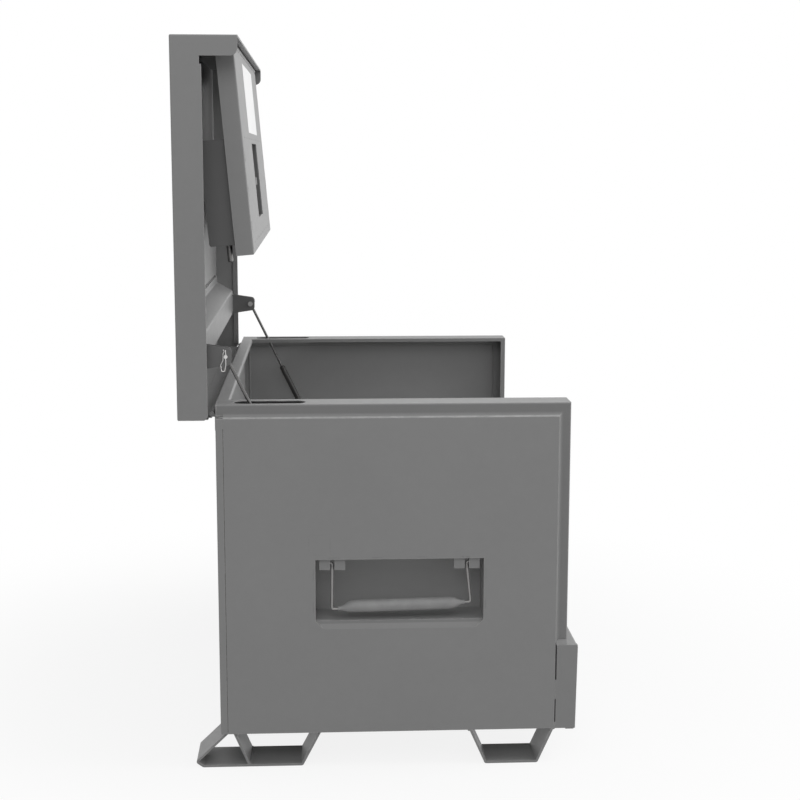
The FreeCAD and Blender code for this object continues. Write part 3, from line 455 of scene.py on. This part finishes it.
def add_world(strength):
    """Even light all round, and pure white where the camera sees it."""
    world = bpy.data.worlds.new("studio")
    bpy.context.scene.world = world
    world.use_nodes = True
    tree = world.node_tree
    tree.nodes.clear()
    plain, white = (tree.nodes.new("ShaderNodeBackground") for _ in range(2))
    plain.inputs["Strength"].default_value = strength
    for background in (plain, white):
        background.inputs["Color"].default_value = (1, 1, 1, 1)
    mix = tree.nodes.new("ShaderNodeMixShader")
    output = tree.nodes.new("ShaderNodeOutputWorld")
    tree.links.new(seen_directly(tree), mix.inputs["Fac"])
    tree.links.new(plain.outputs[0], mix.inputs[1])
    tree.links.new(white.outputs[0], mix.inputs[2])
    tree.links.new(mix.outputs[0], output.inputs["Surface"])


def add_floor(reach, drop, keep, bounce, fade):
    """Pale floor a little below the feet.  The camera sees white and a share of the real shading,
    which fades out with the distance; the light it throws back is that of a greyer floor."""
    mesh = bmesh.new()
    bmesh.ops.create_grid(mesh, x_segments=8, y_segments=8, size=reach)
    data = bpy.data.meshes.new("floor")
    mesh.to_mesh(data)
    mesh.free()
    floor = place_object("floor", data)
    floor.location = (0, 0, -drop)
    material = bpy.data.materials.new("floor")
    material.use_nodes = True
    tree = material.node_tree
    tree.nodes.clear()
    add = tree.nodes.new
    pale, dim = (add("ShaderNodeBsdfDiffuse") for _ in range(2))
    white = add("ShaderNodeEmission")
    pale.inputs["Color"].default_value = (0.85, 0.85, 0.85, 1)
    dim.inputs["Color"].default_value = (bounce, bounce, bounce, 1)
    shown, mix = (add("ShaderNodeMixShader") for _ in range(2))
    output = add("ShaderNodeOutputMaterial")
    distance = add("ShaderNodeVectorMath")
    distance.operation = "LENGTH"
    share = add("ShaderNodeMapRange")
    share.interpolation_type = "SMOOTHSTEP"
    for key, number in zip(("From Min", "From Max", "To Min", "To Max"), (*fade, keep, 0.0)):
        share.inputs[key].default_value = number
    tree.links.new(add("ShaderNodeNewGeometry").outputs["Position"], distance.inputs[0])
    tree.links.new(distance.outputs["Value"], share.inputs["Value"])
    tree.links.new(share.outputs["Result"], shown.inputs["Fac"])
    tree.links.new(white.outputs[0], shown.inputs[1])
    tree.links.new(pale.outputs[0], shown.inputs[2])
    tree.links.new(seen_directly(tree), mix.inputs["Fac"])
    tree.links.new(dim.outputs[0], mix.inputs[1])
    tree.links.new(shown.outputs[0], mix.inputs[2])
    tree.links.new(mix.outputs[0], output.inputs["Surface"])
    data.materials.append(material)


add_camera(place=(-3.6655, 0.1252, 1.2816), yaw=3.0625, pitch=9.1231, roll=0.0718, lens=67.88)
add_world(strength=0.53)
add_floor(reach=40.0, drop=0.0005, keep=0.14, bounce=0.48, fade=(0.55, 1.7))
add_area("key", place=(-0.8, -3.4, 4.2), target=(0, 0, 0.7), size=2.4, power=78)
add_area("side", place=(-3.2, 0.3, 2.6), target=(-0.6, 0, 0.7), size=1.6, power=15)
add_area("low_front", place=(-0.3, -3.6, 1.0), target=(0, 0, 1.0), size=2.2, power=33)
bpy.context.scene.view_settings.view_transform = "Standard"


# ---------------------------------------------------------------- the rest of the object's pieces
def add_piece(name, mesh, body, finish):
    """Object from a bmesh, smooth shaded, riding on a body."""
    bmesh.ops.remove_doubles(mesh, verts=mesh.verts, dist=1e-6)
    bmesh.ops.recalc_face_normals(mesh, faces=mesh.faces)
    data = bpy.data.meshes.new(name)
    mesh.to_mesh(data)
    mesh.free()
    for polygon in data.polygons:
        polygon.use_smooth = True
    piece = place_object(name, data)
    data.materials.append(materials[finish])
    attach(piece, body)
    return piece


def mm(x, y, z):
    """Point given in millimetres."""
    return Vector((x, y, z)) * MM


def on_door(x, y, z):
    """Point given in the hanging door's own frame, in millimetres."""
    turned_y = y * math.cos(DOOR_LEAN) + z * math.sin(DOOR_LEAN)
    turned_z = -y * math.sin(DOOR_LEAN) + z * math.cos(DOOR_LEAN)
    return mm(x, turned_y + DOOR_AXIS[0], turned_z + DOOR_AXIS[1])


def ring(mesh, centre, across, up, radii, count):
    """Ring of vertices in the plane of two unit vectors, as an ellipse of two radii."""
    verts = []
    for i in range(count):
        turn = 2 * math.pi * i / count
        place = centre + across * (radii[0] * math.cos(turn)) + up * (radii[1] * math.sin(turn))
        verts.append(mesh.verts.new(place))
    return verts


def skin(mesh, rings):
    """Faces between neighbouring rings, and a fan over each end."""
    for a, b in zip(rings, rings[1:]):
        for i in range(len(a)):
            j = (i + 1) % len(a)
            mesh.faces.new((a[i], a[j], b[j], b[i]))
    for end in (rings[0], rings[-1]):
        middle = mesh.verts.new(sum((v.co for v in end), Vector()) / len(end))
        for i in range(len(end)):
            mesh.faces.new((end[i], end[(i + 1) % len(end)], middle))


def lathe(mesh, origin, axis, profile, count=24):
    """Solid of revolution: profile is (distance along the axis, radius) pairs in millimetres."""
    axis = Vector(axis).normalized()
    across = axis.orthogonal().normalized()
    up = axis.cross(across)
    rings = []
    for along, radius in profile:
        centre = Vector(origin) + axis * (along * MM)
        rings.append(ring(mesh, centre, across, up, (radius * MM, radius * MM), count))
    skin(mesh, rings)


def bead(mesh, start, end, section, lift, ripple=1.7):
    """Weld bead from start to end: overlapping ripples and tapered ends.
    Its section (width, height) and the ripples' pitch are in millimetres."""
    width, height = (part * MM for part in section)
    start, end, lift = Vector(start), Vector(end), Vector(lift).normalized()
    along = (end - start).normalized()
    across = lift.cross(along).normalized()
    length = (end - start).length
    steps = max(6, int(length / (ripple * MM / 3)))
    rings = []
    for i in range(steps + 1):
        place = i / steps
        if i % 3 == 0:
            wander = rng.uniform(-0.06, 0.06) * width
            swell = rng.uniform(0.92, 1.08)
        phase = (i % 3) / 3
        fade = min(1.0, 0.35 + 5 * min(place, 1 - place) * length / (6 * MM))
        size = swell * fade * (0.86 + 0.14 * math.sin(math.pi * phase))
        centre = start + along * (place * length) + across * wander
        rings.append(ring(mesh, centre, across, lift, (width / 2 * size, height * size), 8))
    skin(mesh, rings)


def stitch(mesh, start, end, count, length, section, lift):
    """Short beads spaced evenly along a joint; their length and section are in millimetres."""
    start, end = Vector(start), Vector(end)
    along = (end - start).normalized()
    total = (end - start).length
    for i in range(count):
        middle = start + along * (total * (i + 0.5) / count + rng.uniform(-3, 3) * MM)
        reach = along * (length * MM * rng.uniform(0.9, 1.1) / 2)
        bead(mesh, middle - reach, middle + reach, section, lift)


def button(mesh, place, axis, radius, height):
    """Low domed rivet head standing on a sheet, its radius and height in millimetres."""
    profile = [(-0.3, radius)]
    profile += [(height * math.sin(a), radius * math.cos(a)) for a in (0.05, 0.35, 0.7, 1.05, 1.35)]
    lathe(mesh, place, axis, profile, 16)


def grip(side, name):
    """Moulded spindle: straight middle, shoulders down to thin necks, small lip round the wire."""
    rear, front = (mm(side * GRIP_X, y, z) for y, z in GRIP_ENDS)
    axis = (front - rear).normalized()
    lip = ((0, 4.0), (1.0, 4.9), (3.0, 5.0), (4.2, 4.4))
    end = (*lip, (8.0, 5.0), (12.5, 6.8), (18.0, 9.4), (23.5, 11.5), (29.5, 12.7))
    stations = range(-GRIP_BARREL, GRIP_BARREL + 1, GRIP_BARREL // 5)
    profile = [(along - GRIP_HALF, radius) for along, radius in end]
    profile += [(along, GRIP_RADIUS - 0.25 * abs(along) / GRIP_BARREL) for along in stations]
    profile += [(GRIP_HALF - along, radius) for along, radius in reversed(end)]
    mesh = bmesh.new()
    middle = (rear + front) / 2
    lathe(mesh, middle, axis, profile, 32)
    # The moulding sits a little above the wire's line, most at its rear end.
    for vert in mesh.verts:
        along = (vert.co - middle).dot(axis) / MM
        off_neck = min(max((along + 132.0) / 28.0, 0.0), 1.0)  # from 0 on the rear neck
        vert.co.z += GRIP_LIFT * MM * off_neck * max(90.0 - along, 0.0) / 190.0
    piece = add_piece("grip_" + name, mesh, "handle_" + name, "grip")
    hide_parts("handle_grip_" + name)


def strut_cylinder(side, name):
    """Strut tube: rolled shoulders, a crimp groove near each end and a wiper ring at the rod."""
    head, foot = (mm(side * STRUT_X, y, z) for y, z in (STRUT_HEAD, STRUT_FOOT))
    axis = (foot - head).normalized()
    length = (foot - head).length / MM - TUBE_START - TUBE_GAP
    mouth = [(0.0, 3.1), (0.0, 5.6), (0.7, 6.4), (2.0, 7.1), (3.5, 7.45), (9.0, TUBE_RADIUS)]
    mouth += [(10.2, 6.9), (11.6, 6.9), (12.8, TUBE_RADIUS)]
    profile = mouth + [(length * k / 6, TUBE_RADIUS) for k in range(1, 6)]
    profile += [(length - along, radius) for along, radius in reversed(mouth[1:])]
    mesh, wiper = bmesh.new(), bmesh.new()
    start = head + axis * (TUBE_START * MM)
    lathe(mesh, start, axis, profile, 32)
    piece = add_piece("strut_cylinder_" + name, mesh, "strut_tube_" + name, "tube")
    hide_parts("strut_tube_" + name)
    lathe(wiper, start - axis * (2.2 * MM), axis, [(0, 3.2), (0.4, 4.3), (1.8, 4.9), (2.3, 4.9)])
    add_piece("strut_wiper_" + name, wiper, "strut_tube_" + name, "dark")


def leg_welds(side, name):
    """Beads across the leg straps, in two runs that overlap, and across both ends of the brace."""
    mesh = bmesh.new()

    def run(x0, x1, y, out, z, section, up):
        bead(mesh, mm(side * x0, y + out, z), mm(side * x1, y + out, z), section, (0, out, up))

    for faces, outer, inner in STRAPS:
        middle = (outer + inner) / 2
        for y, out in faces:
            run(outer, middle + 8, y, out, FLOOR_UNDERSIDE_Z, (6.0, 2.4), -1)
            run(middle - 8, inner, y, out, FLOOR_UNDERSIDE_Z, (6.0, 2.4), -1)
    for faces, z, section, up in BRACE_ENDS:
        for y, out in faces:
            run(*BRACE_X, y, out, z, section, up)
    add_piece("leg_welds_" + name, mesh, "box", "weld")


def recess_welds(side, name):
    """Stitches round the handle pan, inside the box, and beads round the strut stud's plate."""
    wall, into = side * INNER_FACE_X, (-side, 0, 0)
    low, high = (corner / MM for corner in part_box("handle_recess_" + name))
    mesh = bmesh.new()
    for x, z in ((side * 603.4, low.z - 0.4), (wall, high.z + 0.4)):
        stitch(mesh, mm(x, low.y, z), mm(x, high.y, z), 4, 26, (6.0, 2.4), into)
    for y in (low.y - 0.6, high.y + 0.6):
        stitch(mesh, mm(wall, y, low.z), mm(wall, y, high.z), 2, 26, (6.0, 2.4), into)
    plate_y, plate_z = STRUT_FOOT
    for edge in (-PLATE_EDGE, PLATE_EDGE):
        y, z = plate_y + edge, plate_z + edge
        bead(mesh, mm(wall, plate_y - 15, z), mm(wall, plate_y + 15, z), (5.5, 2.2), into)
        bead(mesh, mm(wall, y, plate_z - 15), mm(wall, y, plate_z + 15), (5.5, 2.2), into)
    add_piece("pan_welds_" + name, mesh, "box", "weld")


def wall_seams(side, name):
    """Sealed seam inside, where the rear wall's wrap meets the end wall, and a thin dark bead
    outside as painted shadow in its joint.
    """
    for title, finish, x, low, high, section, out in (
        ("wall_seams_", "weld", INNER_FACE_X, 80, STEP_Z - 4, (6.5, 0.9), -side),
        # Painted shadow: thin dark bead along the joint outside.
        ("wall_joint_shadow_", "dark", JOINT_X, 78, STEP_Z - 18, (1.4, 0.25), side),
    ):
        mesh = bmesh.new()
        ends = (mm(side * x, WRAP_SEAM_Y, z) for z in (low, high))
        bead(mesh, *ends, section, (out, 0, 0), ripple=14)
        add_piece(title + name, mesh, "box", finish)


def sill_shoulder(side, name):
    """Sloped fillet that closes the step between the sill's top and the inset front post."""
    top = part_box("front_sill")[1].z / MM
    outline = [(609.2, -0.3), (608.9, 0.4), (600.6, 9.6), (599.7, 9.9), (599.7, -0.3)]
    mesh = bmesh.new()
    rings = [
        [mesh.verts.new(mm(side * x, y, top + z)) for x, z in outline]
        for y in (-371.0, -371.6, -394.2, -394.8)
    ]
    skin(mesh, rings)
    add_piece("sill_shoulder_" + name, mesh, "box", "weld")


def patch(mesh, side, outline, low_z, high_z):
    """Flat plate on an outline of (x, y) points, its upper edge drawn in a little."""
    middle = [sum(p[i] for p in outline) / len(outline) for i in range(2)]
    rings = []
    for z, shrink in ((low_z, 1.0), (high_z - 0.6, 1.0), (high_z, 0.95)):
        points = [[m + (p - m) * shrink for m, p in zip(middle, point)] for point in outline]
        rings.append([mesh.verts.new(mm(side * x, y, z)) for x, y in points])
    skin(mesh, rings)


def front_corners(side, name):
    """Sealed floor notch behind the front post, and the plate that closes the sill's end below."""
    notch = [(584.0, -355.0), (607.9, -355.0), (607.9, -363.5)]
    notch += [(598.4, -369.0), (598.4, -394.6), (584.0, -394.6)]
    sill_end = [(531.9, -394.0), (608.4, -394.0), (608.4, -411.6), (531.9, -411.6)]
    mesh = bmesh.new()
    patch(mesh, side, notch, 76.6, 78.9)
    patch(mesh, side, sill_end, 73.9, 75.8)
    add_piece("front_corner_" + name, mesh, "box", "weld")


def clevis_welds(side, name):
    """Beads round the clevis, on the lid's inside."""
    low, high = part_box("strut_clevis_" + name)
    face = high.y
    mesh = bmesh.new()
    for x in (low.x, high.x):
        bead(mesh, (x, face, low.z + 2 * MM), (x, face, high.z - 2 * MM), (5.0, 2.2), (0, -1, 0))
    for z in (low.z, high.z):
        bead(mesh, (low.x + 1 * MM, face, z), (high.x - 1 * MM, face, z), (5.0, 2.0), (0, -1, 0))
    add_piece("clevis_welds_" + name, mesh, "lid", "weld")


def stiffener_welds():
    """Stitches below the hat section, painted shadow of the gap above it as a dark strip, plug-weld
    marks on the lid's back.
    """
    low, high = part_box("lid_stiffener")
    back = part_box("lid_shell")[1].y
    inside = back - SHEET * MM
    stitches, marks, gap_shadow = (bmesh.new() for _ in range(3))
    ends = ((low.x + 0.02, inside, low.z), (high.x - 0.02, inside, low.z))
    stitch(stitches, *ends, 7, 30, (5.5, 2.0), (0, -1, -1))
    for z in (low.z + 9 * MM, high.z - 9 * MM):
        for i in range(13):
            x = low.x + 0.04 + (high.x - low.x - 0.08) * i / 12 + rng.uniform(-2, 2) * MM
            button(marks, (x, back, z), (0, 1, 0), rng.uniform(3.6, 4.2), 0.35)
    # Painted shadow: a dark strip along the gap at the hat's upper foot.
    ends = ((low.x + 0.06, inside, high.z + 4 * MM), (high.x - 0.05, inside, high.z + 4 * MM))
    bead(gap_shadow, *ends, (4.6, 1.3), (0, -1, 0))
    add_piece("stiffener_welds", stitches, "lid", "weld")
    add_piece("plug_weld_marks", marks, "lid", "paint")
    add_piece("stiffener_seam", gap_shadow, "lid", "dark")


def housing_welds():
    """Stitches round the lock housing, on the door's own sheet."""
    mesh = bmesh.new()
    for side, _ in SIDES:
        ends = (on_door(side * HOUSING_X, -SHEET, z) for z in (-198, -402))
        stitch(mesh, *ends, 3, 24, (6.0, 2.4), (side, 1, 0))
    for z in HOUSING_Z:
        ends = (on_door(x, -SHEET, z) for x in (-500, 500))
        stitch(mesh, *ends, 9, 26, (6.0, 2.4), (0, 1, 0))
    add_piece("housing_welds", mesh, "door", "weld")


def hinge_rivets():
    """Button heads on the leaves of both continuous hinges."""
    groups = {"box": bmesh.new(), "lid": bmesh.new(), "door": bmesh.new()}
    for body, (y, z), out in LID_HINGE_RIVETS:
        for x in range(-540, 541, 135):
            button(groups[body], mm(x, y, z), out, 4.6, 1.7)
    inward = on_door(0, 1, 0) - on_door(0, 0, 0)
    for x in range(-490, 491, 140):
        button(groups["lid"], mm(x, DOOR_AXIS[0] + 21, DOOR_AXIS[1] + 5), (0, 0, -1), 4.2, 1.5)
        button(groups["door"], on_door(x, -0.1, -20), inward, 4.2, 1.5)
    for body, mesh in groups.items():
        add_piece("hinge_rivets_" + body, mesh, body, "paint")


def latch_nut():
    """Washer and domed nut on the latch shaft."""
    outward = on_door(0, -1, 0) - on_door(0, 0, 0)
    centre = on_door(0, 13.0, LATCH_SHAFT_Z)
    mesh = bmesh.new()
    lathe(mesh, centre, outward, [(-0.4, 11.5), (0.0, 12.2), (1.3, 12.2), (1.7, 11.4)], 32)
    nut = [(1.6, 8.3), (2.2, 8.9), (5.6, 8.9), (6.4, 8.2), (7.6, 6.6), (9.0, 4.6), (9.8, 2.2)]
    lathe(mesh, centre, outward, nut, 6)
    add_piece("latch_nut", mesh, "latch", "zinc")


def well_keeper():
    """Keeper tab turned out at the latch well's edge."""
    face = -4.0  # of the sheet that the tab stands on
    outline = [(-1.5, 0.0), (0.0, 2.2), (3.0, 3.0), (8.0, 3.0), (12.0, 2.4), (13.5, 0.5)]
    mesh = bmesh.new()
    rings = []
    for z, shrink in ((-294.0, 0.8), (-293.0, 1.0), (-278.0, 1.0), (-277.0, 0.8)):
        points = [(x, face - h * shrink) for x, h in outline]
        points += [(x, face + 0.2) for x, _ in reversed(outline)]
        rings.append([mesh.verts.new(on_door(-121.0 + x, y, z)) for x, y in points])
    skin(mesh, rings)
    add_piece("well_keeper", mesh, "door", "paint")


for build in (
    grip,
    strut_cylinder,
    leg_welds,
    recess_welds,
    wall_seams,
    sill_shoulder,
    front_corners,
    clevis_welds,
):
    for side, name in SIDES:
        build(side, name)
stiffener_welds()
housing_welds()
hinge_rivets()
latch_nut()
well_keeper()
